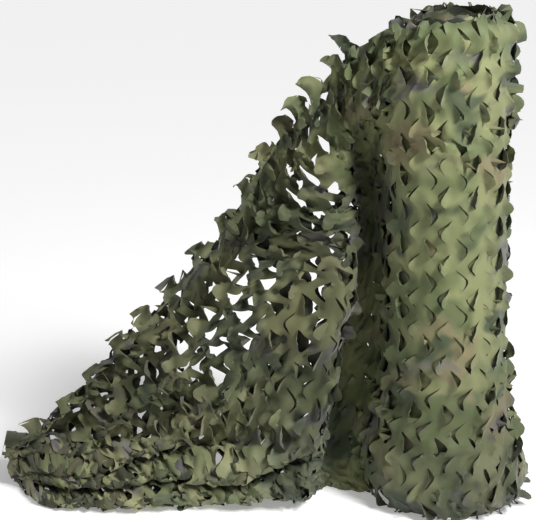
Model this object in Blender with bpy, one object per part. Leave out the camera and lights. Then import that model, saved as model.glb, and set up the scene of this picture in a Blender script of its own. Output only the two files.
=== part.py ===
"""A camouflage net, most of it still wound in a standing roll, its loose end drawn out to one side.

The net is one cloth, incised all over with rows of hooked cuts that open into gaps. It is wound round
itself with no core. The loose end leaves the roll, makes one deep upright fold, and fans down from the
full width at the roll to a bundle of pleats on the floor. The roll is one solid of its wound form, and
the loose end is one folded sheet.

Metres, +Z up. The origin is the centre of the roll's foot. The loose end runs towards -X, and its folds
face -Y.
"""

import math

import bpy
import numpy as np

# The cloth
NET_WIDTH = 1.50  # selvedge to selvedge, and so the height of the standing roll
CELLS_ACROSS = 15  # repeats of the cut pattern over the width
CELLS_ROUND = 12  # repeats round the outermost turn
CELLS_LOOSE = 17  # repeats along the loose end
SHEET_THICK = 0.003

# The roll
ROLL_RADIUS = 0.179
COLUMNS_PER_CELL = 4
ROLL_BUMP = 0.006  # how far the leaves stand out of the outermost turn
BUMP_SWAY = 0.6  # how far the bumps wander to the side, in radians of their own wave
DISH_DEPTH = 0.03  # how far the middle of the upper end has sunk
DISH_RINGS = 3

# The loose end
SEAT_GAP = 0.0008  # between the sheet and the roll that it leaves
SEAT_CALM = 0.40  # the roll's surface is plain this far, in radians, from where the sheet leaves it
PLEATS = 4.5  # over the width
PLEAT_DEPTH = 0.075  # the most that a pleat swings to either side
FIRST_PLEAT = 0.22  # the phase of the pleats at the lower selvedge, in turns
SHALLOWEST = 0.28  # the share of its depth that a pleat keeps in the taut upper part
PLEATS_BEGIN = 0.10
PLEATS_FULL = 0.26
FOLD_DROOP = 0.28  # how much lower a fold's edge hangs than its middle
LEAF_LIFT = 0.008  # how far the cloth beside a gap stands out of the sheet
HEM_FORWARD = 0.11  # how far the lower selvedge comes forward at the foot of the deep fold
HEM_SHARE = 0.28  # the share of the width that comes forward with it
HEM_FULL = 0.11  # where along the loose end it has come forward all the way
HEM_ENDS = 0.26  # where it is back in line
HEM_RETURN = 0.12
BUMP_CLEARANCE = 0.014  # how far the sheet stays from the roll's plain surface where there are bumps
CLEAR_WITHIN = 22.0  # it reaches that distance within one part in so many of the loose end
HOLE_MARGIN = 0.20  # the cloth left round a gap, as a share of its half repeat
HOLE_LEAN = 0.12

# The foot of the roll is flared, because its turns have slipped down, and its upper edge is rounded. Its
# middle lies a little off the axis from level to level.
ROLL_PROFILE = (
    # height, radius, sideways, back
    (0.00, 0.216, 0.018, 0.040),
    (0.05, 0.244, 0.018, 0.038),
    (0.10, 0.249, 0.016, 0.034),
    (0.15, 0.239, 0.013, 0.028),
    (0.20, 0.224, 0.010, 0.021),
    (0.30, 0.203, 0.004, 0.010),
    (0.45, 0.187, 0.000, 0.003),
    (0.80, 0.178, -0.006, 0.000),
    (1.20, 0.177, -0.010, 0.000),
    (1.38, 0.181, -0.009, 0.000),
    (1.45, 0.176, -0.007, 0.000),
    (1.50, 0.150, -0.006, 0.000),
)

# Sections through the loose end, from the roll to the tip. The foot, the middle and the upper selvedge of
# the cloth each have a place in plan: the angle round the roll, and the distance out from its surface.
# The deep upright fold is where the angle swings back and forth.
LOOSE_END = (
    # along, foot_angle, foot_out, mid_angle, mid_out, top_angle, top_out, top_height, heaped,
    # heap_height
    (0.000, 186.0, 0.000, 164.0, 0.000, 232.0, 0.000, 1.500, 0.00, 0.000),
    (0.045, 171.0, 0.030, 147.0, 0.042, 208.0, 0.018, 1.487, 0.02, 0.030),
    (0.090, 160.0, 0.112, 138.0, 0.104, 193.0, 0.062, 1.435, 0.06, 0.065),
    (0.125, 157.5, 0.190, 148.5, 0.108, 186.0, 0.105, 1.395, 0.10, 0.095),
    (0.165, 170.0, 0.210, 171.5, 0.086, 182.0, 0.150, 1.350, 0.15, 0.125),
    (0.220, 187.5, 0.260, 194.0, 0.115, 180.0, 0.212, 1.283, 0.24, 0.160),
    (0.310, 188.5, 0.365, 187.0, 0.274, 177.5, 0.300, 1.172, 0.34, 0.185),
    (0.450, 185.5, 0.550, 181.6, 0.492, 177.0, 0.455, 0.912, 0.47, 0.200),
    (0.620, 185.5, 0.765, 180.0, 0.711, 176.0, 0.685, 0.625, 0.62, 0.205),
    (0.800, 183.5, 0.975, 178.5, 0.941, 174.5, 0.925, 0.365, 0.80, 0.190),
    (1.000, 172.5, 1.170, 173.1, 1.185, 173.5, 1.200, 0.135, 1.00, 0.135),
)
MIDDLE = 0.64  # share of the width at which the middle's place holds
TOP_FROM = 0.92  # share from which the selvedge's place holds


def smoothstep(x):
    x = np.clip(x, 0.0, 1.0)
    return x * x * (3.0 - 2.0 * x)


def along_table(rows, column, at):
    """A column of a table as a smooth curve through its rows, at the given values of its first column."""
    keys = np.array([row[0] for row in rows])
    values = np.array([row[column] for row in rows])
    slopes = np.gradient(values, keys)
    at = np.clip(at, keys[0], keys[-1])
    i = np.clip(np.searchsorted(keys, at, side="right") - 1, 0, len(keys) - 2)
    span = keys[i + 1] - keys[i]
    t = (at - keys[i]) / span
    start = (2 * t**3 - 3 * t**2 + 1) * values[i] + (t**3 - 2 * t**2 + t) * span * slopes[i]
    end = (3 * t**2 - 2 * t**3) * values[i + 1] + (t**3 - t**2) * span * slopes[i + 1]
    return start + end


def roll_section(height):
    """The roll's radius and the place of its middle. They run straight between levels half a repeat apart,
    where the roll and the loose end both have points."""
    levels = np.linspace(0.0, NET_WIDTH, 2 * CELLS_ACROSS + 1)
    return [np.interp(height, levels, along_table(ROLL_PROFILE, column, levels)) for column in (1, 2, 3)]


def between(foot, middle, top, across):
    """A value that runs straight from the foot to the middle of the width, and on to the selvedge in a
    curve."""
    lower = foot + (middle - foot) * np.clip(across / MIDDLE, 0.0, 1.0)
    return lower + (top - middle) * smoothstep((across - MIDDLE) / (TOP_FROM - MIDDLE))


def leaving_angle(across):
    """Where the loose end leaves the roll, in radians round its middle."""
    return np.radians(between(LOOSE_END[0][1], LOOSE_END[0][3], LOOSE_END[0][5], across))


def loose_end(along, across):
    """The middle surface of the loose end. along runs from 0 at the roll to 1 at the tip, and across from 0
    at the lower selvedge to 1 at the upper one."""
    foot_angle, foot_out, mid_angle, mid_out, top_angle, top_out, top_height, heaped, heap_height = (
        along_table(LOOSE_END, column, along) for column in range(1, 10)
    )

    # The lower part of the width lies in the heap, and the rest rises from it to the selvedge.
    in_heap = across < heaped
    heap_slope = heap_height / np.maximum(heaped, 1e-6)
    rise_slope = (top_height - heap_height) / np.maximum(1.0 - heaped, 1e-6)
    height = np.where(in_heap, heap_slope * across, heap_height + rise_slope * (across - heaped))

    # What the height doesn't take up goes into pleats, which grow towards the tip.
    taken = np.where(in_heap, heap_slope, rise_slope) / NET_WIDTH
    slack = np.sqrt(np.clip(1.0 - taken**2, SHALLOWEST**2, 1.0))
    wander = 0.07 * np.sin(7.0 * along + 1.0) + 0.04 * np.sin(17.0 * along + 5.0 * across)
    swing = np.sin(2.0 * math.pi * (FIRST_PLEAT + PLEATS * across + wander))
    uneven = 1.0 + 0.25 * np.sin(9.0 * along + 11.0 * across) + 0.15 * np.sin(23.0 * along - 6.0 * across)
    depth = slack * uneven * smoothstep((along - PLEATS_BEGIN) / (PLEATS_FULL - PLEATS_BEGIN))
    height = height - FOLD_DROOP * np.minimum(height, heap_height) * (depth * swing) ** 2
    height = np.maximum(height, SHEET_THICK / 2)

    # Its place in plan
    near = 1.0 - smoothstep(along / 0.4)
    radius, sideways, back = roll_section(height)
    angle = np.radians(between(foot_angle, mid_angle, top_angle, across))
    out = between(foot_out, mid_out, top_out, across) + SEAT_GAP + SHEET_THICK / 2
    reach = ROLL_RADIUS + (radius - ROLL_RADIUS) * near + out
    x = sideways * near + reach * np.cos(angle)
    y = back * near + reach * np.sin(angle)
    y = y + PLEAT_DEPTH * depth * swing
    at_hem = smoothstep(1.0 - across / HEM_SHARE)
    comes_forward = smoothstep(along / HEM_FULL) * smoothstep((HEM_ENDS - along) / HEM_RETURN)
    y = y - HEM_FORWARD * at_hem * comes_forward

    # It stays clear of the roll's bumps.
    clear = radius + SEAT_GAP + SHEET_THICK / 2 + BUMP_CLEARANCE * smoothstep(along * CLEAR_WITHIN)
    push = np.maximum(1.0, clear / np.hypot(x - sideways, y - back))
    x = sideways + (x - sideways) * push
    y = back + (y - back) * push
    return np.stack([x, y, height], axis=-1)


def unit(vectors):
    return vectors / np.maximum(np.linalg.norm(vectors, axis=-1, keepdims=True), 1e-12)


def make_object(name, points, faces, colour, roughness):
    mesh = bpy.data.meshes.new(name)
    mesh.from_pydata([tuple(map(float, p)) for p in points], [], faces)
    mesh.validate()
    mesh.shade_smooth()
    material = bpy.data.materials.new(name)
    material.use_nodes = True
    shader = material.node_tree.nodes["Principled BSDF"]
    shader.inputs["Base Color"].default_value = (*colour, 1.0)
    shader.inputs["Roughness"].default_value = roughness
    mesh.materials.append(material)
    obj = bpy.data.objects.new(name, mesh)
    bpy.context.scene.collection.objects.link(obj)
    return obj


def build_roll():
    """The wound part: a flared, bumpy body whose upper end has sunk a little in the middle."""
    columns = CELLS_ROUND * COLUMNS_PER_CELL
    levels = 2 * CELLS_ACROSS
    points = []
    for level in range(levels + 1):
        height = NET_WIDTH * level / levels
        for column in range(columns):
            angle = 2.0 * math.pi * column / columns
            from_seat = (angle - leaving_angle(level / levels) + math.pi) % (2.0 * math.pi) - math.pi
            calm = smoothstep(abs(from_seat) / SEAT_CALM - 0.25)
            ends = 0.0 if level in (0, levels) else 1.0
            leaf = math.sin(CELLS_ROUND * angle + BUMP_SWAY * math.sin(3.0 * angle)) * (-1) ** level
            radius, sideways, back = roll_section(height)
            radius = radius + ROLL_BUMP * leaf * calm * ends
            points.append((sideways + radius * math.cos(angle), back + radius * math.sin(angle), height))
    faces = []
    for row in range(levels):
        below, above = row * columns, (row + 1) * columns
        for i in range(columns):
            after = (i + 1) % columns
            faces.append((below + i, below + after, above + after, above + i))
    faces.append(tuple(reversed(range(columns))))

    # The upper end is dished: rings step in and down to a point at the middle.
    edge = levels * columns
    top_radius, sideways, back = roll_section(NET_WIDTH)
    for ring in range(1, DISH_RINGS + 1):
        inwards = 1.0 - ring / (DISH_RINGS + 1)
        radius = top_radius * inwards
        height = NET_WIDTH - DISH_DEPTH * smoothstep(1.0 - inwards)
        start = len(points)
        for column in range(columns):
            angle = 2.0 * math.pi * column / columns
            points.append((sideways + radius * math.cos(angle), back + radius * math.sin(angle), height))
        faces.extend(
            (edge + i, edge + (i + 1) % columns, start + (i + 1) % columns, start + i) for i in range(columns)
        )
        edge = start
    points.append((sideways, back, NET_WIDTH - DISH_DEPTH))
    faces.extend((edge + i, edge + (i + 1) % columns, len(points) - 1) for i in range(columns))
    return make_object("net_roll", points, faces, (0.16, 0.18, 0.09), 0.75)


def has_hole(column, row, columns, rows):
    """Every other half repeat of the open part holds a gap. The heap's gaps are folded shut."""
    if (column + row) % 2 or not 2 <= column < columns - 3 or not 1 <= row < rows - 1:
        return False
    along, across = (column + 0.5) / columns, (row + 0.5) / rows
    return across > along_table(LOOSE_END, 8, np.array(along)) + 1.0 / rows


def build_loose_end():
    """The unrolled part: one sheet, cut through with gaps that stand open, and folded into the heap."""
    columns, rows = 2 * CELLS_LOOSE, 2 * CELLS_ACROSS
    along, across = np.meshgrid(np.linspace(0, 1, columns + 1), np.linspace(0, 1, rows + 1), indexing="ij")
    middle = loose_end(along, across)
    normal = unit(np.cross(np.gradient(middle, axis=0), np.gradient(middle, axis=1)))

    # The leaves beside each gap stand out of the sheet, one to the front and the next to the back.
    above_heap = across - along_table(LOOSE_END, 8, along)
    open_part = smoothstep(above_heap * 12.0) * smoothstep((along - 0.06) * 20.0)
    column, row = np.indices(along.shape)
    lift = LEAF_LIFT * (0.2 + 0.8 * open_part) * smoothstep((along - 0.03) * 25.0)
    middle = middle + normal * (lift * np.where((column // 2 + row) % 2, 1.0, -1.0))[..., None]
    surfaces = (middle + normal * SHEET_THICK / 2, middle - normal * SHEET_THICK / 2)  # back and front

    points, index = [], {}

    def corner(side, c, r):
        """A point of the sheet. The lower selvedge stands on the floor, and nothing sinks into it."""
        key = (side, c, r)
        if key not in index:
            index[key] = len(points)
            x, y, z = surfaces[side][c, r]
            lowest = min(surfaces[0][c, r, 2], surfaces[1][c, r, 2])
            points.append((x, y, min(z - (lowest if r == 0 else min(lowest, 0.0)), NET_WIDTH)))
        return index[key]

    # A gap is a leaning four-sided cut inside its half repeat, leaning one way and then the other.
    near, far = HOLE_MARGIN, 1 - HOLE_MARGIN
    faces = []
    for c in range(columns):
        for r in range(rows):
            ring = [(c, r), (c + 1, r), (c + 1, r + 1), (c, r + 1)]
            sides = [[corner(side, *place) for place in ring] for side in (0, 1)]
            if not has_hole(c, r, columns, rows):
                faces.append(tuple(sides[0]))
                faces.append(tuple(reversed(sides[1])))
                continue
            tilt = HOLE_LEAN if c % 2 else -HOLE_LEAN
            cut = [(near, near + tilt), (far, near - tilt), (far, far - tilt), (near, far + tilt)]
            rims = []
            for side in (0, 1):
                surface = surfaces[side]
                rims.append([])
                for a, b in cut:
                    p = (
                        surface[c, r] * (1 - a) * (1 - b)
                        + surface[c + 1, r] * a * (1 - b)
                        + surface[c + 1, r + 1] * a * b
                        + surface[c, r + 1] * (1 - a) * b
                    )
                    rims[side].append(len(points))
                    points.append(tuple(p))
            for i in range(4):
                j = (i + 1) % 4
                faces.append((sides[0][i], sides[0][j], rims[0][j], rims[0][i]))
                faces.append((sides[1][j], sides[1][i], rims[1][i], rims[1][j]))
                faces.append((rims[0][i], rims[0][j], rims[1][j], rims[1][i]))

    # The four cut edges of the sheet
    border = (
        [(c, 0) for c in range(columns)]
        + [(columns, r) for r in range(rows)]
        + [(c, rows) for c in range(columns, 0, -1)]
        + [(0, r) for r in range(rows, 0, -1)]
    )
    for here, there in zip(border, border[1:] + border[:1]):
        faces.append((corner(1, *here), corner(1, *there), corner(0, *there), corner(0, *here)))
    return make_object("net_loose_end", points, faces, (0.13, 0.15, 0.08), 0.75)


for leftover in list(bpy.data.objects):
    bpy.data.objects.remove(leftover, do_unlink=True)
build_roll()
build_loose_end()
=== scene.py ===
import math

import bpy
import numpy as np
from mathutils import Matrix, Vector
from mathutils.geometry import delaunay_2d_cdt


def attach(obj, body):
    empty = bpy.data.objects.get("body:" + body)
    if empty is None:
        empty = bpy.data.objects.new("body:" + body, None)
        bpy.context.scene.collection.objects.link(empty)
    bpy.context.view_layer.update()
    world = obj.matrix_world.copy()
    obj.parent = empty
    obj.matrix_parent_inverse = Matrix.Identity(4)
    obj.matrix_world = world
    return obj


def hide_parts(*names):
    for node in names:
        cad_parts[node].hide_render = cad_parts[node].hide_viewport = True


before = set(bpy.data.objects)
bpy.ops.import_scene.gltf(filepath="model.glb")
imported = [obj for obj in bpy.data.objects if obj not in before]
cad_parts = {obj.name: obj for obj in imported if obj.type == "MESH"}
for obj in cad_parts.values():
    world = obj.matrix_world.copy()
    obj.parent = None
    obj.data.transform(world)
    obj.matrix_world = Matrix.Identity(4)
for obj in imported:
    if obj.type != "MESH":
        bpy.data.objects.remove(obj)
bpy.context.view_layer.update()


# --- The last turn of the roll, and the loose end that it runs into ---
# One length of coated woven polyester, 1.5 m wide, dyed in a woodland pattern and incised all over with two
# rows of hooked cuts to each repeat. It goes once round the roll's flared foot, and nearly one and a half
# times round the roll above it. Then it leaves the roll's side and hangs, folded and pleated into a heap.

NET_WIDTH = 1.50
CUT_PITCH = 0.10  # a repeat of the cuts across the width
CELLS_ACROSS = NET_WIDTH / CUT_PITCH
ROUND_PITCH = 0.082  # a repeat along the length, with the cuts closed
REPEAT = np.array([ROUND_PITCH, CUT_PITCH])
CELLS_ROUND = 12  # repeats in a turn, where the roll is slimmest
LOOSE_CELLS = 16.5  # repeats in the loose end
OUTER_CELLS = CELLS_ROUND + 5.5  # the last turn, as long as the flared foot takes
CUT_PHASE = 0.38  # where the hooks that point right stand in each repeat
TURN_STEP = 0.010  # how much a turn lies inside the next
CLOTH_THICK = 0.0008
FLOOR_GAP = 0.001  # the middle of the cloth's thickness lies at least this high
SPACING = 0.0105  # between the points of the mesh
SETTLING = 110  # rounds
SEED = 20

# Height, radius, and how far the roll's middle lies sideways and back
ROLL_PROFILE = (
    (0.00, 0.216, 0.018, 0.040),
    (0.05, 0.244, 0.018, 0.038),
    (0.10, 0.249, 0.016, 0.034),
    (0.15, 0.239, 0.013, 0.028),
    (0.20, 0.224, 0.010, 0.021),
    (0.30, 0.203, 0.004, 0.010),
    (0.45, 0.187, 0.000, 0.003),
    (0.80, 0.178, -0.006, 0.000),
    (1.20, 0.177, -0.010, 0.000),
    (1.38, 0.181, -0.009, 0.000),
    (1.45, 0.176, -0.007, 0.000),
    (1.50, 0.150, -0.006, 0.000),
)
ROLL_RADIUS = 0.179
SHOULDER_DROP = 0.034  # how far the roll's upper edge has sunk where the cloth leaves it

# Where over the width the wound cloth gets loose, above and below, and within how much of the width
LOOSE_ABOVE, LOOSE_BELOW = (0.62, 0.20), (0.34, -0.18)
MORE_ABOVE, MORE_BELOW = 0.05, 0.06  # how much more cloth a turn takes there
BUNCH_SIZE = 0.12  # how far apart the places are where loose cloth is bunched up
BUNCHED_UP, BUNCHED_ROUND = 0.014, 0.016  # by how much

# Along, then angle round the roll and distance out from it at the foot, the middle and the upper selvedge,
# then the selvedge's height, the share of the width that lies in the heap, and the heap's height
LOOSE_END = (
    (0.000, 186.0, 0.000, 164.0, 0.000, 232.0, 0.000, 1.500, 0.00, 0.000),
    (0.045, 171.0, 0.030, 147.0, 0.042, 208.0, 0.018, 1.487, 0.02, 0.030),
    (0.090, 160.0, 0.112, 138.0, 0.104, 193.0, 0.062, 1.435, 0.06, 0.065),
    (0.125, 157.5, 0.190, 148.5, 0.108, 186.0, 0.105, 1.395, 0.10, 0.095),
    (0.165, 170.0, 0.210, 171.5, 0.086, 182.0, 0.150, 1.350, 0.15, 0.125),
    (0.220, 187.5, 0.260, 194.0, 0.115, 180.0, 0.212, 1.283, 0.24, 0.160),
    (0.310, 188.5, 0.365, 187.0, 0.274, 177.5, 0.300, 1.172, 0.34, 0.185),
    (0.450, 185.5, 0.550, 181.6, 0.492, 177.0, 0.455, 0.912, 0.47, 0.200),
    (0.620, 185.5, 0.765, 180.0, 0.711, 176.0, 0.685, 0.625, 0.62, 0.205),
    (0.800, 183.5, 0.975, 178.5, 0.941, 174.5, 0.925, 0.365, 0.80, 0.190),
    (1.000, 172.5, 1.170, 173.1, 1.185, 173.5, 1.200, 0.135, 1.00, 0.135),
)
MIDDLE = 0.64  # share of the width at which the middle's place holds
TOP_FROM = 0.92  # share from which the selvedge's place holds
PLEATS = 4.5  # over the width
PLEAT_DEPTH = 0.075  # how far a pleat swings to either side
FIRST_PLEAT = 0.22  # the phase of the pleats at the lower selvedge, in turns
SHALLOWEST = 0.28  # the share of its depth that a pleat keeps in the taut upper part
FOLD_DROOP = 0.28  # how far a pleat's crests sink in the heap, as a share of their height
HEM_FORWARD = 0.11  # how far the lower selvedge comes forward at the foot of the deep fold
HEM_SHARE = 0.28  # the share of the width that comes forward with it
ROLL_CLEARANCE = 0.010  # how far the loose end stays out from the roll
FOLD_FULLNESS = 0.5  # how much more cloth the deep fold takes than its surface is long
CLAW_LEAN, CLAW_RISE = 0.6, 0.85  # how far a leaf past the upper edge leans left and stands up
HEM_LEAF_FORWARD = 0.7  # how far one past the lower edge lies forward

# Where the cloth is drawn open: along, across, how far each way, and by how much
STRETCHED = ((0.200, 0.880, 0.060, 0.09, 0.14), (0.445, 0.760, 0.085, 0.11, 0.08))

# How far the settled cloth may reach to the left, to the front and to the back
MOST_LEFT, MOST_FORWARD, MOST_BACK = -1.395, -0.215, 0.29


def smoothstep(x):
    x = np.clip(x, 0.0, 1.0)
    return x * x * (3.0 - 2.0 * x)


def ease(x, start, span):
    """Goes smoothly from 0 at the start to 1 a span further on, or further back if the span is negative."""
    return smoothstep((x - start) / span)


def along_table(rows, column, at):
    """A column of a table as a smooth curve through its rows, at the given values of its first column."""
    keys = np.array([row[0] for row in rows])
    values = np.array([row[column] for row in rows])
    slopes = np.gradient(values, keys)
    at = np.clip(at, keys[0], keys[-1])
    i = np.clip(np.searchsorted(keys, at, side="right") - 1, 0, len(keys) - 2)
    span = keys[i + 1] - keys[i]
    t = (at - keys[i]) / span
    start = (2 * t**3 - 3 * t**2 + 1) * values[i] + (t**3 - 2 * t**2 + t) * span * slopes[i]
    end = (3 * t**2 - 2 * t**3) * values[i + 1] + (t**3 - t**2) * span * slopes[i + 1]
    return start + end


def roll_section(height):
    """The roll's radius and the place of its middle."""
    return [along_table(ROLL_PROFILE, column, height) for column in (1, 2, 3)]


def between(foot, middle, top, across):
    """A value that runs straight from the foot to the middle of the width, then curves to the selvedge."""
    lower = foot + (middle - foot) * np.clip(across / MIDDLE, 0.0, 1.0)
    return lower + (top - middle) * smoothstep((across - MIDDLE) / (TOP_FROM - MIDDLE))


def loose_end(along, across):
    """The folded surface of the loose end. along is 0 at the roll and 1 at the tip, across 0 at the lower
    selvedge and 1 at the upper one."""
    foot_angle, foot_out, mid_angle, mid_out, top_angle, top_out, top_height, heaped, heap_height = (
        along_table(LOOSE_END, column, along) for column in range(1, 10)
    )
    in_heap = across < heaped
    heap_slope = heap_height / np.maximum(heaped, 1e-6)
    rise_slope = (top_height - heap_height) / np.maximum(1.0 - heaped, 1e-6)
    height = np.where(in_heap, heap_slope * across, heap_height + rise_slope * (across - heaped))

    # What the height doesn't take up goes into pleats, which grow towards the tip.
    taken = np.where(in_heap, heap_slope, rise_slope) / NET_WIDTH
    slack = np.sqrt(np.clip(1.0 - taken**2, SHALLOWEST**2, 1.0))
    wander = 0.07 * np.sin(7.0 * along + 1.0) + 0.04 * np.sin(17.0 * along + 5.0 * across)
    swing = np.sin(2.0 * math.pi * (FIRST_PLEAT + PLEATS * across + wander))
    uneven = 1.0 + 0.25 * np.sin(9.0 * along + 11.0 * across) + 0.15 * np.sin(23.0 * along - 6.0 * across)
    depth = slack * uneven * ease(along, 0.10, 0.16)
    height = height - FOLD_DROOP * np.minimum(height, heap_height) * (depth * swing) ** 2
    height = np.maximum(height, FLOOR_GAP)

    # Its place in plan, clear of the roll
    near = 1.0 - smoothstep(along / 0.4)
    radius, sideways, back = roll_section(height)
    angle = np.radians(between(foot_angle, mid_angle, top_angle, across))
    reach = ROLL_RADIUS + (radius - ROLL_RADIUS) * near + between(foot_out, mid_out, top_out, across)
    x = sideways * near + reach * np.cos(angle)
    y = back * near + reach * np.sin(angle) + PLEAT_DEPTH * depth * swing
    forward = HEM_FORWARD * smoothstep(1.0 - across / HEM_SHARE)
    y = y - forward * smoothstep(along / 0.11) * ease(along, 0.26, -0.12)
    clear = radius + ROLL_CLEARANCE * smoothstep(along * 22.0)
    push = np.maximum(1.0, clear / np.hypot(x - sideways, y - back))
    return np.stack([sideways + (x - sideways) * push, back + (y - back) * push, height], axis=-1)


def leaving_length(across):
    """Where the cloth leaves the roll, as a length along it from where its middle does."""
    angle = between(LOOSE_END[0][1], LOOSE_END[0][3], LOOSE_END[0][5], across)
    return (LOOSE_END[0][3] - angle) / 360.0 * CELLS_ROUND * ROUND_PITCH


def looseness(across):
    """How loosely the wound cloth lies in the roll's upper third, and how loosely at its foot. At mid height
    it is tight."""
    return ease(across, *LOOSE_ABOVE), ease(across, *LOOSE_BELOW)


def turns_back(length, across):
    """How many turns a point of the cloth lies before the line where it leaves the roll. A turn takes more
    cloth where the roll is wider, and where it is loose."""
    radius = roll_section(across * NET_WIDTH)[0]
    slack_above, slack_below = looseness(across)
    per_turn = CELLS_ROUND * ROUND_PITCH * np.maximum(radius / ROLL_RADIUS, 1.0)
    per_turn *= 1.0 + MORE_ABOVE * slack_above + MORE_BELOW * slack_below
    return np.maximum(leaving_length(across) - length, 0.0) / per_turn


def even_lengths():
    """The place along the loose end at even steps of the flat cloth's length, so that its folds take the
    cloth evenly."""
    along, across = np.meshgrid(np.linspace(0.0, 1.0, 401), np.linspace(0.3, 1.0, 57), indexing="ij")
    steps = np.linalg.norm(np.diff(loose_end(along, across), axis=0), axis=2)
    steps = np.minimum(steps, 3.0 * steps.mean(axis=0)).mean(axis=1)
    steps *= 1.0 + FOLD_FULLNESS * ease(along[1:, 0], 0.17, -0.06)
    reached = np.concatenate([[0.0], np.cumsum(steps)])
    return np.interp(np.linspace(0.0, 1.0, 401), reached / reached[-1], along[:, 0])


EVEN_LENGTHS = even_lengths()


def even_along(share):
    """The place along the loose end at a share of the flat cloth's length."""
    return np.interp(share, np.linspace(0.0, 1.0, len(EVEN_LENGTHS)), EVEN_LENGTHS)


def heaped_width(length, cells):
    """How much of the width has sunk into the heap at this length, past what the heap's height takes up. The
    rows of cuts stay level, so the cloth's upper edge runs down across them."""
    along = even_along(length / (cells * ROUND_PITCH))
    sunk = along_table(LOOSE_END, 8, along) * NET_WIDTH - along_table(LOOSE_END, 9, along)
    return np.where(length > 0.0, np.maximum(sunk, 0.0), 0.0)


def share_across(flat, cells=LOOSE_CELLS):
    """How far across the hung cloth a point of the flat cloth is: 0 at the lower edge, 1 at the upper."""
    return (flat[:, 1] + heaped_width(-flat[:, 0], cells)) / NET_WIDTH


def drawn_open(along, across):
    """Moves points apart where the cloth is drawn open. Says also how near they are to such a place."""
    nearest = np.zeros(len(along))
    for place_along, place_across, size_along, size_across, opened in STRETCHED:
        off_along, off_across = along - place_along, across - place_across
        near = np.exp(-((off_along / size_along) ** 2 + (off_across / size_across) ** 2) / 2.0)
        along = along + opened * off_along * near
        across = across + opened * off_across * near * ease(across, 1.0, -0.08)
        nearest = np.maximum(nearest, near)
    return along, across, nearest


def crumple(flat, size, seed):
    """A soft random field over the flat cloth, from about -1 to 1, with bumps about as far apart as size."""
    table = np.random.default_rng(seed).uniform(-1.0, 1.0, (64, 64))
    place = flat / size + 400.0
    i = place.astype(int)
    u, v = smoothstep(place - i).T
    i, j = i.T % 64
    k, m = (i + 1) % 64, (j + 1) % 64
    left = (1 - v) * table[i, j] + v * table[i, m]
    right = (1 - v) * table[k, j] + v * table[k, m]
    return (1 - u) * left + u * right


def shoulder_drop(points):
    return SHOULDER_DROP * ease(-points[..., 0] / ROLL_RADIUS, 0.30, 0.55)


def hang(flat, cells=LOOSE_CELLS):
    """Where a point of the flat cloth goes. Its first coordinate runs against the length, and is 0 where the
    cloth's middle leaves the roll."""
    length, across = -flat[:, 0], share_across(flat, cells)
    above = np.maximum(across - 1.0, 0.0) * NET_WIDTH
    below = np.maximum(-across, 0.0) * NET_WIDTH
    across = np.clip(across, 0.0, 1.0)
    leaves = leaving_length(across)
    along = even_along((length - leaves) / (cells * ROUND_PITCH - leaves))
    free = loose_end(*drawn_open(along, across)[:2])
    free[:, 0] -= CLAW_LEAN * above * ease(along, 0.5, -0.3)
    free[:, 1] -= HEM_LEAF_FORWARD * below
    free[:, 2] += CLAW_RISE * above

    # On the roll, where the cloth is loose, it is bunched up here and drawn apart there.
    wound_ago = np.maximum(leaves - length, 0.0)
    slack_above, slack_below = looseness(across) * smoothstep(wound_ago / 0.05)
    slack = slack_above + 1.4 * slack_below
    bunched_up = BUNCHED_UP * slack * crumple(flat, BUNCH_SIZE, 22)
    height = across * NET_WIDTH + bunched_up * ease(np.abs(across - 0.5), 0.5, -0.06)
    height = np.clip(height, FLOOR_GAP, NET_WIDTH)
    radius, sideways, back = roll_section(height)
    turns = turns_back(length, across)
    leaving_angle = math.radians(LOOSE_END[0][3]) - 2.0 * math.pi * leaves / (CELLS_ROUND * ROUND_PITCH)
    bunched_round = BUNCHED_ROUND / radius * slack * crumple(flat, BUNCH_SIZE, 21)
    angle = leaving_angle + 2.0 * math.pi * turns + bunched_round
    radius = radius - TURN_STEP * turns
    wound = np.stack([sideways + radius * np.cos(angle), back + radius * np.sin(angle), height], axis=-1)

    hung = np.where((length > leaves)[..., None], free, wound)
    hung[:, 2] -= shoulder_drop(hung) * ease(across, 0.87, 0.13) * ease(along, 0.12, -0.12)
    return hung


# A hooked cut, from its long straight arm round the tip to its short steep one, in repeats from the tip
RIGHT_HOOK = (
    (-0.44, 0.375), (-0.26, 0.225), (-0.12, 0.115), (-0.03, 0.03),
    (-0.02, -0.07), (-0.11, -0.20), (-0.225, -0.335),
)
LEFT_HOOK = (
    (0.45, 0.35), (0.28, 0.215), (0.13, 0.105), (0.03, 0.02),
    (0.025, -0.08), (0.13, -0.21), (0.26, -0.345),
)
CUT_STRAYS, CUT_SLANTS = 0.022, 0.05  # how unlike each other the cuts are, in place and in slant
UNCUT_RIM = 0.005  # on the roll, the cuts stop this far below the upper edge

# The leaf within a hook, in repeats from its tip and pointing right: its leaning root, and its two sides
LEAF_ROOT, ROOT_TOP, ROOT_LEAN = -0.43, 0.365, 0.279
UPPER_SLOPE, LOWER_SLOPE, LOWER_START = -0.83, 1.2, 0.055
LEAF_LENGTH = 0.33
LEAF_MIDDLE = 0.22  # from the tip
LEAF_NUMBERS = 6000  # more than a piece has leaves

# A leaf that stands out of the loose end's upper edge, from its root nearer the roll round its tip to the
# next: how far on along the cloth, and how far above the edge, in metres
CLAW = (
    (-0.034, -0.012), (-0.020, 0.016), (0.002, 0.046), (0.028, 0.070), (0.062, 0.084),
    (0.049, 0.058), (0.040, 0.030), (0.037, 0.004), (0.042, -0.012),
)


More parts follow.
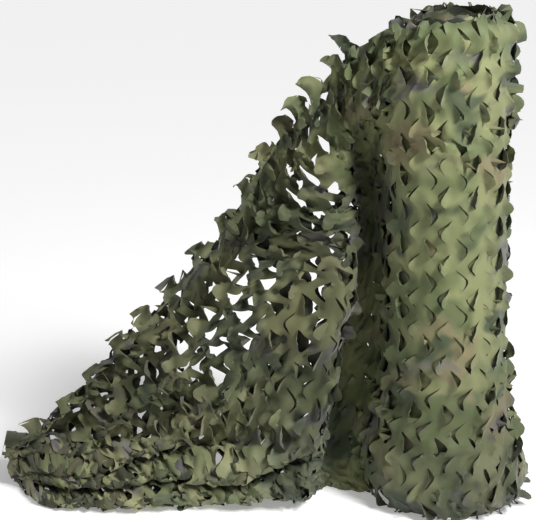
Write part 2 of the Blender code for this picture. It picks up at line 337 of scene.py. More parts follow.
def hook_curve(hook, step):
    """The cut as a smooth curve, with a point every step or so (in repeats)."""
    corners = np.array(hook)
    knots = np.concatenate([[0.0], np.cumsum(np.linalg.norm(np.diff(corners, axis=0), axis=1))])
    at = np.linspace(0.0, knots[-1], max(6, int(round(knots[-1] / step))) + 1)
    rows = [(k, *c) for k, c in zip(knots, corners)]
    return np.stack([along_table(rows, 1, at), along_table(rows, 2, at)], axis=-1)


def leaf_at(flat, side):
    """The leaf of one of the two rows that each point lies on or next to: the place of its tip in repeats,
    the point's place from there with the leaf pointing right, and whether the point is on it."""
    sign = (1.0, -1.0)[side]
    column = np.round(flat[:, 0] / ROUND_PITCH + sign * LEAF_MIDDLE)
    row = np.round(flat[:, 1] / CUT_PITCH - CUT_PHASE - 0.5 * side)
    tip = np.stack([column, row + CUT_PHASE + 0.5 * side], axis=1)
    near = (flat / REPEAT - tip) * (sign, 1.0)
    x, y = near.T
    root = LEAF_ROOT + (ROOT_TOP - y) * ROOT_LEAN
    on_leaf = (x > root) & (y < UPPER_SLOPE * x) & (y > LOWER_SLOPE * x - LOWER_START)
    return tip, near, on_leaf


def upper_edge(left, right, spacing, clawed, cells, rng):
    """The line that the cloth's upper edge follows, from its roll end to its loose end."""
    corners = [(x, rng.uniform(-0.014, 0.010)) for x in np.arange(right, 0.0, -0.022)]
    if clawed:
        for k in range(1, math.floor(-left / ROUND_PITCH)):
            size = rng.uniform(0.7, 1.2) if rng.uniform() < 0.9 else 0.3
            start = -(k + 0.2 + rng.uniform(-0.08, 0.08)) * ROUND_PITCH
            corners.extend((start - size * on, size * up) for on, up in CLAW)
        corners.append((left, 0.0))
    else:
        corners.extend([(-0.05, 0.0), (-0.15, -0.03), (left, -0.03)])
    corners = np.array(corners)
    run = np.concatenate([[0.0], np.cumsum(np.linalg.norm(np.diff(corners, axis=0), axis=1))])
    at = np.unique(np.concatenate([run, np.linspace(0.0, run[-1], int(round(run[-1] / spacing)))]))
    at = at[np.concatenate([[True], np.diff(at) > 0.3 * spacing])]
    x, up = np.interp(at, run, corners[:, 0]), np.interp(at, run, corners[:, 1])
    return np.stack([x, NET_WIDTH - heaped_width(-x, cells) + up], axis=1)


def under_line(spots, line):
    """Whether each spot is under the line, which may overhang."""
    x, y = spots[:, 0], spots[:, 1]
    crossings = np.zeros(len(spots), dtype=int)
    for (x0, y0), (x1, y1) in zip(line[:-1], line[1:]):
        spanned = (x >= min(x0, x1)) & (x < max(x0, x1))
        crossings[spanned] += y[spanned] < y0 + (y1 - y0) * (x[spanned] - x0) / (x1 - x0)
    return crossings % 2 == 1


def cut_cloth(first, last, spacing, seed, cells=LOOSE_CELLS, clawed=False):
    """Flat cloth between the given repeats, with its cuts. Gives the points in metres, the triangles and the
    cut edges. Past the line where the cloth is folded under at the foot, only whole leaves are left."""
    rng = np.random.default_rng(seed)
    left, right = -last * ROUND_PITCH, -first * ROUND_PITCH
    points, borders, cuts = [], [], []

    def add_line(line, joins):
        start = len(points)
        points.extend(line.tolist())
        joins.extend((start + i, start + i + 1) for i in range(len(line) - 1))

    # The borders
    xs = np.linspace(left, right, int(round((right - left) / spacing)) + 1)
    lower = -heaped_width(-xs, cells)
    upper = upper_edge(left, right, spacing, clawed, cells, rng)
    add_line(np.stack([xs, lower], 1), borders)
    add_line(upper, borders)
    ys = np.linspace(0.0, NET_WIDTH, int(round(NET_WIDTH / spacing)) + 1)[1:-1]
    add_line(np.stack([np.full(len(ys), left), ys + lower[0]], 1), borders)
    add_line(np.stack([np.full(len(ys), right), ys + lower[-1]], 1), borders)

    def inside(spots, margin):
        level = spots[:, 1] + heaped_width(-spots[:, 0], cells)
        across = (level > -margin) & (level < NET_WIDTH + margin)
        return across & (spots[:, 0] > left + 0.3 * spacing) & (spots[:, 0] < right - 0.3 * spacing)

    # The cuts, each a little different from the next
    curves = [hook_curve(hook, spacing / CUT_PITCH) for hook in (RIGHT_HOOK, LEFT_HOOK)]
    for column in range(math.floor(-last) - 1, math.ceil(-first) + 2):
        for row in range(math.floor(lower.min() / CUT_PITCH) - 1, math.ceil(CELLS_ACROSS) + 2):
            for side, curve in enumerate(curves):
                strayed = np.clip(rng.normal(0.0, CUT_STRAYS, 2), -0.05, 0.05)
                slant = np.clip(rng.normal(0.0, CUT_SLANTS, 3), -0.1, 0.1)
                tip = np.array([column, row + CUT_PHASE + 0.5 * side]) + strayed
                grown = curve * (1.0 + 0.8 * slant[0]) @ np.array([[1.0, slant[1]], [slant[2], 1.0]])
                line = (tip + grown) * REPEAT
                off_rim = (line[:, 0] < -0.02) | (line[:, 1] < NET_WIDTH - UNCUT_RIM)
                kept = np.flatnonzero(inside(line, 0.06) & off_rim)
                if len(kept) >= 4:
                    add_line(line[kept[0]:kept[-1] + 1], cuts)

    # The plain cloth between them, in even rows, but for points too close to a cut or a border
    grid_x = np.arange(left + spacing * 0.6, right - spacing * 0.4, spacing)
    grid_y = np.arange(lower.min() - 0.05, NET_WIDTH + 0.05, spacing * 0.866)
    gx, gy = np.meshgrid(grid_x, grid_y)
    gx = gx + (np.arange(len(grid_y)) % 2)[:, None] * spacing * 0.5
    fill = np.stack([gx.ravel(), gy.ravel()], 1) + rng.normal(0.0, 0.07 * spacing, (gx.size, 2))
    bucket = {}
    for p in np.array(points):
        bucket.setdefault((int(p[0] // spacing), int(p[1] // spacing)), []).append(p)
    for p in fill[inside(fill, 0.07)]:
        i, j = int(p[0] // spacing), int(p[1] // spacing)
        close = [q for a in (-1, 0, 1) for b in (-1, 0, 1) for q in bucket.get((i + a, j + b), ())]
        apart = min(((p[0] - q[0]) ** 2 + (p[1] - q[1]) ** 2 for q in close), default=math.inf)
        if apart > (0.55 * spacing) ** 2:
            points.append([p[0], p[1]])

    flat, edges, triangles, _, edges_from, _ = delaunay_2d_cdt(
        [Vector(p) for p in points], cuts + borders, [], 0, 1e-7, True)
    flat = np.array([(p.x, p.y) for p in flat])
    triangles = np.array(triangles)
    cut_edges = {
        tuple(sorted(edge)) for edge, olds in zip(edges, edges_from) if any(old < len(cuts) for old in olds)
    }

    # Cloth beyond the borders goes, but for leaves at the foot whose root is within them.
    middles = flat[triangles].mean(axis=1)
    above_foot = middles[:, 1] + heaped_width(-middles[:, 0], cells) > 0.0
    for side, sign in ((0, 1.0), (1, -1.0)):
        tip, _, on_leaf = leaf_at(middles, side)
        root = (tip - (sign * 0.42, 0.0)) * REPEAT
        above_foot |= on_leaf & inside(root, -0.012) & (root[:, 0] < -0.05)
    kept = above_foot & under_line(middles, upper) & (middles[:, 0] > left) & (middles[:, 0] < right)
    sides = [np.linalg.norm(flat[triangles[:, k]] - flat[triangles[:, k - 1]], axis=1) for k in range(3)]
    return flat, triangles[kept & (np.max(sides, axis=0) < 3.0 * spacing)], cut_edges


def part_at_cuts(flat, triangles, cut_edges):
    """Separates the two sides of each cut: every corner of a triangle gets the copy of its point on its own
    side."""
    around = {}
    for t, tri in enumerate(triangles):
        for k in range(3):
            around.setdefault(tuple(sorted((tri[k], tri[(k + 1) % 3]))), []).append(t)
    touched = {p for e in cut_edges for p in e}
    at_point = {p: [] for p in touched}
    for t, tri in enumerate(triangles):
        for p in tri:
            if p in at_point:
                at_point[p].append(t)
    old = triangles
    triangles = triangles.copy()
    copies = []
    for p in sorted(touched):
        fans, left = [], set(at_point[p])
        while left:
            fan, queue = set(), [min(left)]
            while queue:
                t = queue.pop()
                if t in fan:
                    continue
                fan.add(t)
                for q in old[t]:
                    if q == p:
                        continue
                    e = tuple(sorted((p, q)))
                    if e not in cut_edges:
                        queue.extend(o for o in around[e] if o not in fan)
            left -= fan
            fans.append(fan)
        for fan in fans[1:]:
            for t in fan:
                triangles[t][old[t] == p] = len(flat) + len(copies)
            copies.append(flat[p])
    return without_scraps(np.vstack([flat, copies]), triangles)


def used_points(triangles):
    """The numbers of the points that the triangles use, and the triangles with just those points."""
    used = np.unique(triangles)
    return used, np.searchsorted(used, triangles)


def without_scraps(flat, triangles):
    """Leaves out the scraps that the borders cut free, and the points that no triangle uses."""
    owners = {}
    for t, tri in enumerate(triangles):
        for p in tri:
            owners.setdefault(p, []).append(t)
    cloth, seen = [], np.zeros(len(triangles), dtype=bool)
    for first in range(len(triangles)):
        if seen[first]:
            continue
        seen[first] = True
        found = [first]
        for t in found:
            for p in triangles[t]:
                for other in owners[p]:
                    if not seen[other]:
                        seen[other] = True
                        found.append(other)
        if len(found) > len(cloth):
            cloth = found
    used, triangles = used_points(triangles[np.sort(cloth)])
    return flat[used], triangles


def leaves_of(flat, triangles):
    """For each point: how far along its leaf it is (0 at the root, 1 at the tip, 0 off the leaves), how far
    up the leaf's arch, the leaf's number, and which way the leaf points. Then how near it is to a leaf's
    mouth, which is the cloth in front of its tip, and that leaf's number."""
    middles = flat[triangles].mean(axis=1)
    beside = np.zeros_like(flat)
    for k in range(3):
        for axis in range(2):
            beside[:, axis] += np.bincount(triangles[:, k], middles[:, axis], len(flat))
    beside /= np.maximum(np.bincount(triangles.ravel(), minlength=len(flat)), 1)[:, None]

    share, arch, points_to, mouth = np.zeros((4, len(flat)))
    leaf, mouth_leaf = np.zeros((2, len(flat)), dtype=int)
    for side, sign in ((0, 1.0), (1, -1.0)):
        tip, _, on_leaf = leaf_at(beside, side)
        x, y = ((flat / REPEAT - tip) * (sign, 1.0)).T
        number = (tip[:, 0] * 131 + np.floor(tip[:, 1]) * 7 + side * 3 + 9000).astype(int) % LEAF_NUMBERS
        grown = np.clip((x - LEAF_ROOT - (ROOT_TOP - y) * ROOT_LEAN) / LEAF_LENGTH, 0.0, 1.0)
        half = np.maximum(0.03 - 1.0 * x, 0.03)
        bulge = np.clip(1.0 - ((y - 0.18 * x + 0.03) / half) ** 2, 0.0, 1.0) * np.clip(grown * 3.0, 0.0, 1.0)
        share = np.where(on_leaf, grown, share)
        arch = np.where(on_leaf, bulge, arch)
        leaf = np.where(on_leaf, number, leaf)
        points_to = np.where(on_leaf, sign, points_to)
        by = np.where(on_leaf, 0.0, np.exp(-((x - 0.04) ** 2 + y**2) / 0.17**2))
        mouth_leaf = np.where(by > mouth, number, mouth_leaf)
        mouth = np.maximum(mouth, by)
    return share, arch, leaf, points_to, np.where(share > 0.0, 0.0, mouth), mouth_leaf


def settle(points, goal, pull, triangles, rest_lengths, rounds, keep_out, bend=0.35):
    """Lets the cloth take up its own lengths round the surface that it is drawn to, as stiff cloth under
    tension does."""
    sides = [triangles[:, [0, 1]], triangles[:, [1, 2]], triangles[:, [2, 0]]]
    sides = np.sort(np.concatenate(sides), axis=1)
    key = sides[:, 0].astype(np.int64) * len(points) + sides[:, 1]
    order = np.argsort(key, kind="stable")
    opposite = np.concatenate([triangles[:, 2], triangles[:, 0], triangles[:, 1]])[order]
    key = key[order]
    pair = np.flatnonzero(key[1:] == key[:-1])
    edges = sides[order][np.concatenate([[True], key[1:] != key[:-1]])]
    hinges = np.stack([opposite[pair], opposite[pair + 1]], axis=1)
    links = np.concatenate([edges, hinges])
    rest = rest_lengths(links)
    strength = np.concatenate([np.ones(len(edges)), np.full(len(hinges), bend)])
    first, second, count = links[:, 0], links[:, 1], len(points)
    share = np.maximum(np.bincount(first, strength, count) + np.bincount(second, strength, count), 1e-6)
    for _ in range(rounds):
        points += pull[:, None] * (goal - points)
        for _ in range(2):
            step = points[second] - points[first]
            length = np.sqrt(np.einsum("ij,ij->i", step, step)) + 1e-9
            move = step * (0.9 * strength * (1.0 - rest / length))[:, None]
            for axis in range(3):
                shift = np.bincount(first, move[:, axis], count) - np.bincount(second, move[:, axis], count)
                points[:, axis] += shift / share
        keep_out(points)
    return points


def vertex_normals(points, triangles):
    first, second, third = (points[triangles[:, k]] for k in range(3))
    faces = np.cross(second - first, third - first)
    normals = np.zeros_like(points)
    for k in range(3):
        for axis in range(3):
            normals[:, axis] += np.bincount(triangles[:, k], faces[:, axis], len(points))
    return normals / np.maximum(np.linalg.norm(normals, axis=1, keepdims=True), 1e-12)


def curl_leaves(points, flat, outward, lift, share, points_to):
    """Adds the rest of the leaves' curl: out of the cloth, back towards the root, and down. A leaf's tip is
    drawn back further where the cloth is drawn open or loose."""
    step = 0.006
    rightward = hang(flat + (step, 0.0)) - hang(flat - (step, 0.0))
    rightward /= np.maximum(np.linalg.norm(rightward, axis=1, keepdims=True), 1e-9)
    across, length = share_across(flat), -flat[:, 0]
    leaves = leaving_length(across)
    along = even_along((length - leaves) / (LOOSE_CELLS * ROUND_PITCH - leaves))
    opened = drawn_open(along, across)[2] * (length > leaves)
    slack = looseness(across)[0] * (length < leaves)
    drawn = -points_to * np.abs(lift) * (0.45 + 0.4 * opened + 0.5 * slack) * share

    # On the roll, the turn under it keeps the cloth from sinking far.
    out = np.where(length < leaves, np.maximum(0.8 * lift, -0.006), 0.8 * lift)
    moved = points + outward * out[:, None] + rightward * drawn[:, None]

    # Along the roll's top the edge leans in and is uneven.
    rim = smoothstep((flat[:, 1] / CUT_PITCH - CELLS_ACROSS + 0.5) / 0.5) * (length < leaves)
    moved += outward * (rim * (0.010 * crumple(flat, 0.05, 12) - 0.014))[:, None]
    moved[:, 2] += rim * (0.010 * crumple(flat, 0.04, 13) + 0.006 + 0.010 * share)
    moved[:, 2] -= 0.15 * np.abs(lift) * share
    moved[:, 2] = np.maximum(moved[:, 2], FLOOR_GAP)
    return moved


# How far the leaves are thrown out, and what share of them goes that far
THROWS, THROWN = (0.25, 0.8, 1.4, 2.1, -0.7), (0.24, 0.36, 0.22, 0.10, 0.08)
MOST_LIFT, MORE_LOOSE = 0.024, 0.014  # of a leaf on the roll, and how much more on the loose end
SINKS, STANDS_OUT = 0.004, 0.003  # how far wound cloth may lie inside its turn, or outside if pressed


def lay_cloth(first, cells, depth, spacing, seed, curl_wound, curl_loose, clawed=False):
    """Cuts a length of the net, hangs it depth behind the outermost surface, and lets its leaves curl."""
    flat, triangles, cut_edges = cut_cloth(first, cells, spacing, seed, cells, clawed)
    flat, triangles = part_at_cuts(flat, triangles, cut_edges)
    share, arch, leaf, points_to, mouth, mouth_leaf = leaves_of(flat, triangles)
    rng = np.random.default_rng(seed)
    length, across = -flat[:, 0], share_across(flat, cells)
    goal = hang(flat, cells)
    outward = vertex_normals(goal, triangles)
    leaves_at = leaving_length(across)
    turns = turns_back(length, across)

    # How much each point belongs to the loose end, its heap, its tip, the deep fold's inside, the roll's
    # loose parts, and the stretch that the last turn covers
    run = length / (cells * ROUND_PITCH)
    loose = ease(length, leaves_at, 0.12)
    in_heap = loose * ease(goal[:, 2], 0.24, -0.10)
    at_tip = ease(run, 0.80, 0.14)
    in_fold = ease(even_along(run), 0.20, -0.05) * ease(across, 0.86, -0.05)
    slack_above, slack_below = looseness(across)
    under = smoothstep(turns * 10.0 - 9.0)

    # The leaves curl out of the cloth, most of them to the front, and the cloth at their mouths sinks a
    # little. The loose end's leaves stand out further than the wound ones, except where something holds them.
    throw = rng.choice(THROWS, LEAF_NUMBERS, p=THROWN) + rng.normal(0.0, 0.15, LEAF_NUMBERS)
    curl_wound = curl_wound * (1.0 + 1.3 * slack_above + 0.5 * slack_below)
    calm = (1.0 - 0.85 * in_heap) * (1.0 - 0.4 * at_tip) * (1.0 - 0.92 * in_fold)
    curl = curl_wound * (1.0 - loose) + curl_loose * loose * calm
    curl = curl * (1.0 - under)
    lift = curl * (throw[leaf] * (share**1.2 + 0.25 * arch) - 0.5 * throw[mouth_leaf] * mouth)
    most = MOST_LIFT + MORE_LOOSE * loose
    lift = most * np.tanh(lift / most)

    # The cloth is crumpled: in large soft bumps, in small ones, and in the heap's folds.
    loosely = 0.6 + (0.9 * slack_above + 1.3 * slack_below) * (1.0 - loose) + 0.5 * loose
    rumple = (0.0070 * loosely + 0.0045 * loose) * crumple(flat, 0.085, 5)
    rumple += (0.0075 * loosely - 0.0005 * loose) * crumple(flat, 0.040, 6) * (1.0 - in_heap)
    rumple += in_heap * (0.010 + 0.016 * crumple(flat, 0.14, 14))
    rumple = rumple * (1.0 - under)
    rumple += 0.7 * np.maximum(across - 1.0, 0.0) * NET_WIDTH * crumple(flat, 0.06, 7) * loose
    depth = depth * (1.6 - 0.6 * loose)
    goal = goal + outward * (rumple - depth)[:, None]
    start = goal + outward * (0.6 * lift + rng.normal(0.0, 0.0006, len(flat)))[:, None]

    def rest_lengths(links):
        shaped = np.concatenate([flat, (0.6 * lift)[:, None]], axis=1)
        return np.linalg.norm(shaped[links[:, 1]] - shaped[links[:, 0]], axis=1)

    # The uncut bands between the columns of leaves are held in place, and the leaves are nearly free.
    from_band = np.abs((flat[:, 0] / ROUND_PITCH % 1.0) - 0.5)
    pull = np.where(share > 0.0, 0.004, 0.02 + 0.10 * smoothstep(1.0 - from_band / 0.16))
    pull[np.abs(length - leaves_at) < 0.012] = 0.3
    pull = np.maximum(pull * (1.0 - 0.7 * in_heap), 0.3 * at_tip)
    pressed = (length < leaves_at - 0.02) & ((under > 0.05) | (depth > 0.0))

    def stay_outside(points):
        """Keeps the cloth on the floor and on the turn under it, and pressed flat where a turn covers it."""
        points[:, 2] = np.maximum(points[:, 2], FLOOR_GAP)
        radius, sideways, back = roll_section(np.clip(points[:, 2], 0.0, NET_WIDTH))
        rests_at = radius - depth - TURN_STEP * turns
        x, y = points[:, 0] - sideways, points[:, 1] - back
        far = np.maximum(np.hypot(x, y), 1e-6)
        sunk = (far < rests_at - SINKS) & (points[:, 2] < NET_WIDTH)
        push = np.where(sunk, (rests_at - SINKS) / far, 1.0)
        push = np.where(pressed & (far > rests_at + STANDS_OUT), (rests_at + STANDS_OUT) / far, push)
        points[:, 0] = np.clip(sideways + x * push, MOST_LEFT, None)
        points[:, 1] = np.clip(back + y * push, MOST_FORWARD, MOST_BACK)

    settled = settle(start, goal, pull, triangles, rest_lengths, SETTLING, stay_outside)
    outward = 0.5 * outward + 0.5 * vertex_normals(settled, triangles)
    return curl_leaves(settled, flat, outward, lift, share, points_to), triangles, flat


# How the dye is tinted, mostly with painted shade and some painted light: from where to where the tint
# comes in along the flat cloth, from where to where up it, and the tint. Along it, the roll is above 0 and
# the loose end below. The second tint of a pair ends what the first began.
ALL = (9.0, 8.9)
ONTO_LOOSE_END = (0.12, -0.28)
PAINTED_SHADE_AND_TINTS = (
    (ONTO_LOOSE_END, (0.08, 0.50), (0.640, 0.637, 0.600)),  # the loose end darker than the roll, as painted shade, less so low down,
    ((-0.25, -0.65), ALL, (0.92, 0.88, 0.98)),  # greyer further out,
    ((-1.20, -1.30), ALL, (0.65, 0.62, 0.66)),  # darkest at its tip,
    ((-0.35, -0.50), (0.35, 0.12), (1.20, 1.20, 1.24)),  # and lighter in the heap, as painted light
    ((-0.05, 0.10), (0.58, 0.12), (0.66, 0.645, 0.70)),  # the roll's foot darker, as painted shade, and darker still at the floor
    ((-0.05, 0.10), (0.12, 0.02), (0.75, 0.76, 0.84)),
    (ALL, (1.465, 1.50), (0.62, 0.64, 0.68)),  # the upper selvedge darker, as painted shade
    ((-0.54, -0.43), (1.15, 1.00), (0.72, 0.72, 0.72)),  # a pair: painted shade on a strip down the deep fold's crest
    ((-0.40, -0.33), (1.15, 1.00), (1.39, 1.39, 1.39)),
    ((-0.66, -0.50), (0.40, 0.20), (0.64, 0.66, 0.82)),  # a pair: painted shade at the fold's foot
    ((-0.20, -0.10), (0.40, 0.20), (1.56, 1.52, 1.22)),
    ((0.30, 0.45), ALL, (0.74, 0.74, 0.76)),  # a pair: painted shade on a strip down the roll's side
    ((0.55, 0.72), ALL, (1.35, 1.35, 1.32)),
)


def cloth_material(name, painted_brightness=1.0):
    """Woodland dye on a matt coated weave: patches of yellow green, olive, tan, grey and dark green with soft
    edges."""
    material = bpy.data.materials.new(name)
    material.use_nodes = True
    nodes, links = material.node_tree.nodes, material.node_tree.links

    def added(kind, sockets, **settings):
        """A new node. Each of its sockets gets a value, or what another node gives."""
        node = nodes.new("ShaderNode" + kind)
        for setting, value in settings.items():
            setattr(node, setting, value)
        for socket, value in sockets.items():
            if isinstance(value, bpy.types.NodeSocket):
                links.new(value, node.inputs[socket])
            else:
                node.inputs[socket].default_value = value
        return node

    where = added("UVMap", {}, uv_map="cloth").outputs["UV"]

    def ramp(value, low, high, most=1.0):
        """Goes from 0 to the most as the value goes from low to high."""
        sockets = {"Value": value, "From Min": low, "From Max": high, "To Max": most}
        return added("MapRange", sockets).outputs["Result"]

    def blotches(scale, offset, low, high):
        place = added("Mapping", {"Vector": where, "Location": offset}).outputs["Vector"]
        noise = added("TexNoise", {"Vector": place, "Scale": scale, "Detail": 2.0, "Distortion": 0.6})
        return ramp(noise.outputs["Fac"], low, high)

    def calculated(operation, *values):
        return added("Math", dict(enumerate(values)), operation=operation).outputs["Value"]

    def dye(under, colour, mask, blend="MIX"):
        sockets = {"Factor": mask, "A": under, "B": colour}
        return added("Mix", sockets, data_type="RGBA", blend_type=blend).outputs["Result"]

    # Below 1, the brightness factor darkens every dye colour: painted shade for cloth that lies behind, under
    # or inside.
    def shade(r, g, b):
        return (r * painted_brightness, g * painted_brightness, b * painted_brightness, 1.0)

    # The loose end has less tan than the roll.
    along, up = added("SeparateXYZ", {"Vector": where}).outputs[:2]
    tan_left = calculated("MULTIPLY_ADD", ramp(along, *ONTO_LOOSE_END), -0.75, 1.0)
    tan = calculated("MULTIPLY", tan_left, blotches(5.0, (9.3, 4.2, 0.0), 0.56, 0.64))

    yellow_green = blotches(4.5, (3.1, 1.7, 0.0), 0.44, 0.56)
    dark_green = blotches(6.0, (1.9, 8.8, 0.0), 0.56, 0.63)
    grey = blotches(5.5, (6.4, 2.6, 0.0), 0.59, 0.67)
    colour = dye(shade(0.098, 0.122, 0.046), shade(0.200, 0.215, 0.093), yellow_green)
    colour = dye(colour, shade(0.186, 0.164, 0.082), tan)
    colour = dye(colour, shade(0.058, 0.076, 0.034), dark_green)
    colour = dye(colour, shade(0.115, 0.112, 0.100), grey)
    # Then the tints of the table above, most of them painted shade or painted light, multiplied in.
    for run, rise, tint in PAINTED_SHADE_AND_TINTS:
        colour = dye(colour, (*tint, 1.0), ramp(up, *rise, ramp(along, *run)), "MULTIPLY")
    shader = nodes["Principled BSDF"]
    links.new(colour, shader.inputs["Base Color"])
    shader.inputs["Roughness"].default_value = 0.62
    shader.inputs["Specular IOR Level"].default_value = 0.35
    shader.inputs["Sheen Weight"].default_value = 0.15
    shader.inputs["Sheen Roughness"].default_value = 0.5

    # The weave: threads under half a millimetre apart
    threads = []
    for turn in (0.0, math.pi / 2):
        place = added("Mapping", {"Vector": where, "Rotation": (0.0, 0.0, turn)}).outputs["Vector"]
        wave = added("TexWave", {"Vector": place, "Scale": 320.0, "Distortion": 0.6})
        threads.append(wave.outputs["Fac"])
    bump = added("Bump", {"Height": calculated("ADD", *threads), "Strength": 0.25, "Distance": 0.0004})
    links.new(bump.outputs["Normal"], shader.inputs["Normal"])
    return material


def placed(name, data):
    thing = bpy.data.objects.new(name, data)
    bpy.context.scene.collection.objects.link(thing)
    return thing


def cloth_piece(name, points, triangles, flat, material, thick=CLOTH_THICK):
    """A piece of the net from some of its triangles, given its thickness."""
    used, triangles = used_points(triangles)
    mesh = bpy.data.meshes.new(name)
    mesh.from_pydata(points[used].tolist(), [], triangles.tolist())
    uv = mesh.uv_layers.new(name="cloth")
    loops = np.empty(len(mesh.loops), dtype=np.int32)
    mesh.loops.foreach_get("vertex_index", loops)
    uv.data.foreach_set("uv", flat[used][loops].astype(np.float32).ravel())
    mesh.materials.append(material)
    mesh.shade_smooth()
    piece = placed(name, mesh)
    if thick:
        solid = piece.modifiers.new("thickness", "SOLIDIFY")
        solid.thickness = thick
        solid.offset = 0.0
        depsgraph = bpy.context.evaluated_depsgraph_get()
        finished = bpy.data.meshes.new_from_object(piece.evaluated_get(depsgraph))
        piece.modifiers.clear()
        piece.data = finished
        finished.name = name
        finished.set_sharp_from_angle(angle=math.radians(50.0))
    return piece


def net_piece(name, solid, slot, flat_size, held, rests_on, *made):
    """A piece of the net on the part's one body, in place of a solid."""
    piece = cloth_piece(name, *made)
    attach(piece, "root")
    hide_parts(solid)


net_dye_and_painted_shade = cloth_material("woodland dye and painted shade on coated weave")
points, triangles, flat = lay_cloth(
    -OUTER_CELLS, LOOSE_CELLS, 0.0, SPACING, SEED, curl_wound=0.019, curl_loose=0.036, clawed=True)
free = (-flat[:, 0] > leaving_length(share_across(flat)))[triangles].mean(axis=1) > 0.5
net_piece(
    "net_last_turn", "net_roll", "wound_net", (OUTER_CELLS * ROUND_PITCH, NET_WIDTH), "stretched",
    ["net_roll"], points, triangles[~free], flat, net_dye_and_painted_shade)
net_piece(
    "net_loose_length", "net_loose_end", "loose_net", (LOOSE_CELLS * ROUND_PITCH, NET_WIDTH), "draped",
    ["net_last_turn"], points, triangles[free], flat, net_dye_and_painted_shade)


# --- The layer behind the loose end -----------------------------------
# The next length of the same cloth, drawn out with the loose end. It hangs slacker and close behind it, so
# that most of its gaps show dark cloth, in its own shade and in painted shade from its darkened dye. It gapes
# where the cloth in front is drawn open.

LAYER_CELLS = 22.0
LAYER_TUCKED = 3.0  # repeats of it that go on into the roll
LAYER_BEHIND = 0.016
LAYER_GAPES = 0.48  # how near the middle of such a place, from 0 to 1

# The same dye darkened to 0.6: painted shade for the cloth behind the loose end and under the last turn.
shaded_dye = cloth_material("woodland dye of the inner layers, in painted shade", 0.6)
points, triangles, flat = lay_cloth(
    -LAYER_TUCKED, LAYER_CELLS, LAYER_BEHIND, 1.2 * SPACING, SEED + 1, curl_wound=0.001, curl_loose=0.009)
along = even_along(-flat[:, 0] / (LAYER_CELLS * ROUND_PITCH))
opened = drawn_open(along, share_across(flat, LAYER_CELLS))[2] + 0.15 * crumple(flat, 0.06, 11)
triangles = triangles[opened[triangles].mean(axis=1) < LAYER_GAPES]
net_piece(
    "net_layer_behind", "net_loose_end", "loose_net",
    ((LAYER_CELLS + LAYER_TUCKED) * ROUND_PITCH, NET_WIDTH), "draped",
    ["net_last_turn"], points, triangles, flat, shaded_dye)


# --- The second turn of the roll --------------------------------------
# The same cloth where it goes round under the last turn. It shows through the cuts, and has its own cuts and
# leaves. It is held so flat between its neighbours that its thickness doesn't show.

INNER_CELLS = CELLS_ROUND + 5.7
INNER_LIFT = 0.003  # how far its leaves stand out
NO_THICKNESS = 0.0

last, first = -OUTER_CELLS + 0.2, -OUTER_CELLS - INNER_CELLS
flat, triangles, cut_edges = cut_cloth(first, last, 1.25 * SPACING, SEED + 2)
flat, triangles = part_at_cuts(flat, triangles, cut_edges)
share, _, leaf, points_to, mouth, mouth_leaf = leaves_of(flat, triangles)
throw = np.random.default_rng(SEED + 2).uniform(0.1, 1.0, LEAF_NUMBERS)
points = hang(flat)
lift = INNER_LIFT * (throw[leaf] * share**1.4 - 0.5 * throw[mouth_leaf] * mouth)
points = curl_leaves(points, flat, vertex_normals(points, triangles), lift, share, points_to)
# It takes the dye darkened as painted shade.
net_piece(
    "net_second_turn", "net_roll", "wound_net", (INNER_CELLS * ROUND_PITCH, NET_WIDTH), "stretched",
    ["net_roll"], points, triangles, flat, shaded_dye, NO_THICKNESS)


# --- The turns inside the roll ----------------------------------------
# The rest of the same cloth, pressed together. It shows only as darkness behind the cuts, so it is one
# closed, rippled body.

RINGS, SIDES = 60, 96
PRESSED_TOP = 1.40
PRESSED_IN = 0.032  # how far it lies inside the roll's outline
RIPPLE = 0.002

heights = np.linspace(0.0005, PRESSED_TOP, RINGS)[:, None]
radius, sideways, back = roll_section(heights)
angles = np.linspace(0.0, 2.0 * math.pi, SIDES, endpoint=False)
ripple = RIPPLE * np.sin(24.0 * angles + 2.0 * np.sin(9.0 * heights)) * np.sin(62.0 * heights)
radius = radius - PRESSED_IN + ripple
body = np.stack([
    sideways + radius * np.cos(angles),
    back + radius * np.sin(angles),
    np.broadcast_to(heights, (RINGS, SIDES)),
], axis=-1).reshape(-1, 3)
quads = [
    (low + i, low + (i + 1) % SIDES, low + SIDES + (i + 1) % SIDES, low + SIDES + i)
    for low in range(0, (RINGS - 1) * SIDES, SIDES) for i in range(SIDES)
]
ends = [tuple(range(SIDES))[::-1], tuple(range((RINGS - 1) * SIDES, RINGS * SIDES))]
mesh = bpy.data.meshes.new("net_inner_turns")
mesh.from_pydata(body.tolist(), [], quads + ends)
uv = mesh.uv_layers.new(name="cloth")
for loop, spot in zip(mesh.loops, uv.data):
    x, y, z = body[loop.vertex_index]
    spot.uv = (0.18 * math.atan2(y, x), z)
mesh.materials.append(cloth_material("woodland dye in shade", 0.35))
mesh.shade_smooth()
inner_turns = placed("net_inner_turns", mesh)
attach(inner_turns, "root")
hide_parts("net_roll")


# --- The wound edges at the roll's top end ----------------------------
# The upper edges of the same inner turns, wound in a spiral that sinks towards its middle. They are ragged
# from the cuts, and lean against each other.

EDGE_TURNS, EDGE_GAP, EDGE_RADIUS = 15, 0.0086, 0.146
EDGE_POINTS = 84  # to a turn
EDGE_WIDTH, EDGE_LEVELS, LEVEL_STEP = 0.055, 6, 0.011
EDGE_BELOW = 0.012  # how far the outermost edge lies below the roll's top
EDGE_SINKS = 0.026  # how much lower the innermost one lies

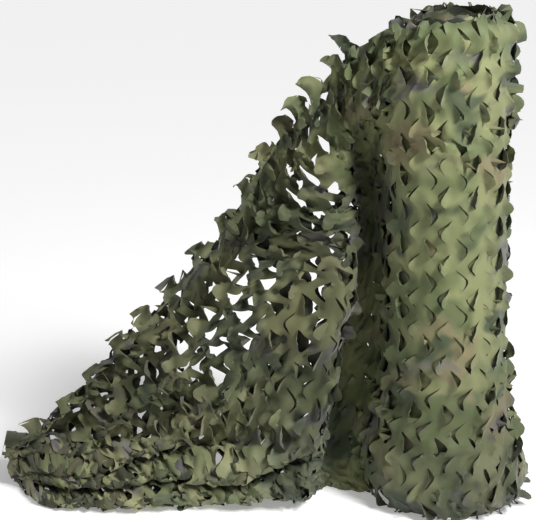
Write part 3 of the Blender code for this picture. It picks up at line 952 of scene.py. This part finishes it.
spin = np.linspace(0.0, 2.0 * math.pi * EDGE_TURNS, EDGE_POINTS * EDGE_TURNS + 1)
radius = EDGE_RADIUS - EDGE_GAP * spin / (2.0 * math.pi)
_, sideways, back = roll_section(np.full(1, NET_WIDTH))
steps = np.hypot(np.diff(radius * np.cos(spin)), np.diff(radius * np.sin(spin)))
edge_run = np.concatenate([[0.0], np.cumsum(steps)])
strip = []
for level in range(EDGE_LEVELS):
    place = np.stack([edge_run, np.full_like(edge_run, 0.02 * level)], axis=1)
    ragged = 0.014 * crumple(place, 0.05, 8) + 0.013 * crumple(place, 0.021, 9)
    lean = 0.0030 * crumple(place, 0.035, 10) * level / 5.0
    sunk = EDGE_SINKS * (1.0 - (radius / EDGE_RADIUS) ** 2)
    height = NET_WIDTH - EDGE_BELOW - sunk - LEVEL_STEP * (EDGE_LEVELS - 1 - level) + ragged * level / 5.0
    height -= 0.8 * shoulder_drop(np.stack([radius * np.cos(spin), spin], axis=-1))
    x, y = (radius + lean) * np.cos(-spin), (radius + lean) * np.sin(-spin)
    strip.append(np.stack([sideways + x, back + y, height], axis=1))
strip = np.stack(strip, axis=1)
corners = np.arange(len(spin) * EDGE_LEVELS).reshape(len(spin), EDGE_LEVELS)
first, second, third, fourth = corners[:-1, :-1], corners[1:, :-1], corners[1:, 1:], corners[:-1, 1:]
halves = [np.stack(half, -1).reshape(-1, 3) for half in ((first, second, third), (first, third, fourth))]
edge_levels = np.tile(np.arange(EDGE_LEVELS) * LEVEL_STEP, len(spin))
edge_flat = np.stack([np.repeat(edge_run, EDGE_LEVELS), edge_levels], axis=1)
# Its dye is darkened to 0.45: painted shade.
net_piece(
    "net_wound_edges", "net_roll", "wound_net", (float(edge_run[-1]), EDGE_WIDTH), "stretched",
    ["net_inner_turns"], strip.reshape(-1, 3), np.concatenate(halves), edge_flat,
    cloth_material("woodland dye of the wound edges, in painted shade", 0.45))


# --- Floor, lights and camera -----------------------------------------
# A plain white studio floor that glows a little, soft sunlight and one large soft lamp from the front right
# and above, and the photograph's view.

floor_mesh = bpy.data.meshes.new("floor")
floor_mesh.from_pydata([(-60, -60, 0), (60, -60, 0), (60, 60, 0), (-60, 60, 0)], [], [(0, 1, 2, 3)])
floor_material = bpy.data.materials.new("white floor")
floor_material.use_nodes = True
floor_shader = floor_material.node_tree.nodes["Principled BSDF"]
floor_shader.inputs["Base Color"].default_value = (0.9, 0.9, 0.9, 1.0)
floor_shader.inputs["Roughness"].default_value = 0.9
floor_shader.inputs["Emission Color"].default_value = (1.0, 1.0, 1.0, 1.0)
floor_shader.inputs["Emission Strength"].default_value = 0.27
floor_mesh.materials.append(floor_material)
floor = placed("floor", floor_mesh)

# The backdrop is white to the camera, and lights the part only faintly.
world = bpy.data.worlds.new("studio")
world.use_nodes = True
background = world.node_tree.nodes["Background"]
background.inputs["Color"].default_value = (1.0, 1.0, 1.0, 1.0)
seen = world.node_tree.nodes.new("ShaderNodeLightPath")
strength = world.node_tree.nodes.new("ShaderNodeMapRange")
strength.inputs["To Min"].default_value = 0.25
strength.inputs["To Max"].default_value = 1.0
world.node_tree.links.new(seen.outputs["Is Camera Ray"], strength.inputs["Value"])
world.node_tree.links.new(strength.outputs["Result"], background.inputs["Strength"])
bpy.context.scene.world = world
bpy.context.scene.view_settings.view_transform = "Standard"

key_data = bpy.data.lights.new("key", "SUN")
key_data.energy = 2.05
key_data.angle = math.radians(14.0)
key = placed("key", key_data)
key.rotation_euler = Vector((-2.6, 2.8, -3.4)).to_track_quat("-Z", "Y").to_euler()

near_data = bpy.data.lights.new("near key", "AREA")
near_data.shape = "DISK"
near_data.size = 0.7
near_data.energy = 86.0
near_key = placed("near key", near_data)
near_key.location = (1.3, -1.35, 2.85)
near_key.rotation_euler = Vector((-1.7, 1.9, -1.7)).to_track_quat("-Z", "Y").to_euler()

camera_data = bpy.data.cameras.new("camera")
camera_data.sensor_width = 36.0
camera_data.lens = 112.3
camera = placed("camera", camera_data)
camera.location = (-0.54, -4.8, 2.1)
camera.rotation_euler = (math.radians(90.0 - 15.6), 0.0, 0.0)
bpy.context.scene.camera = camera
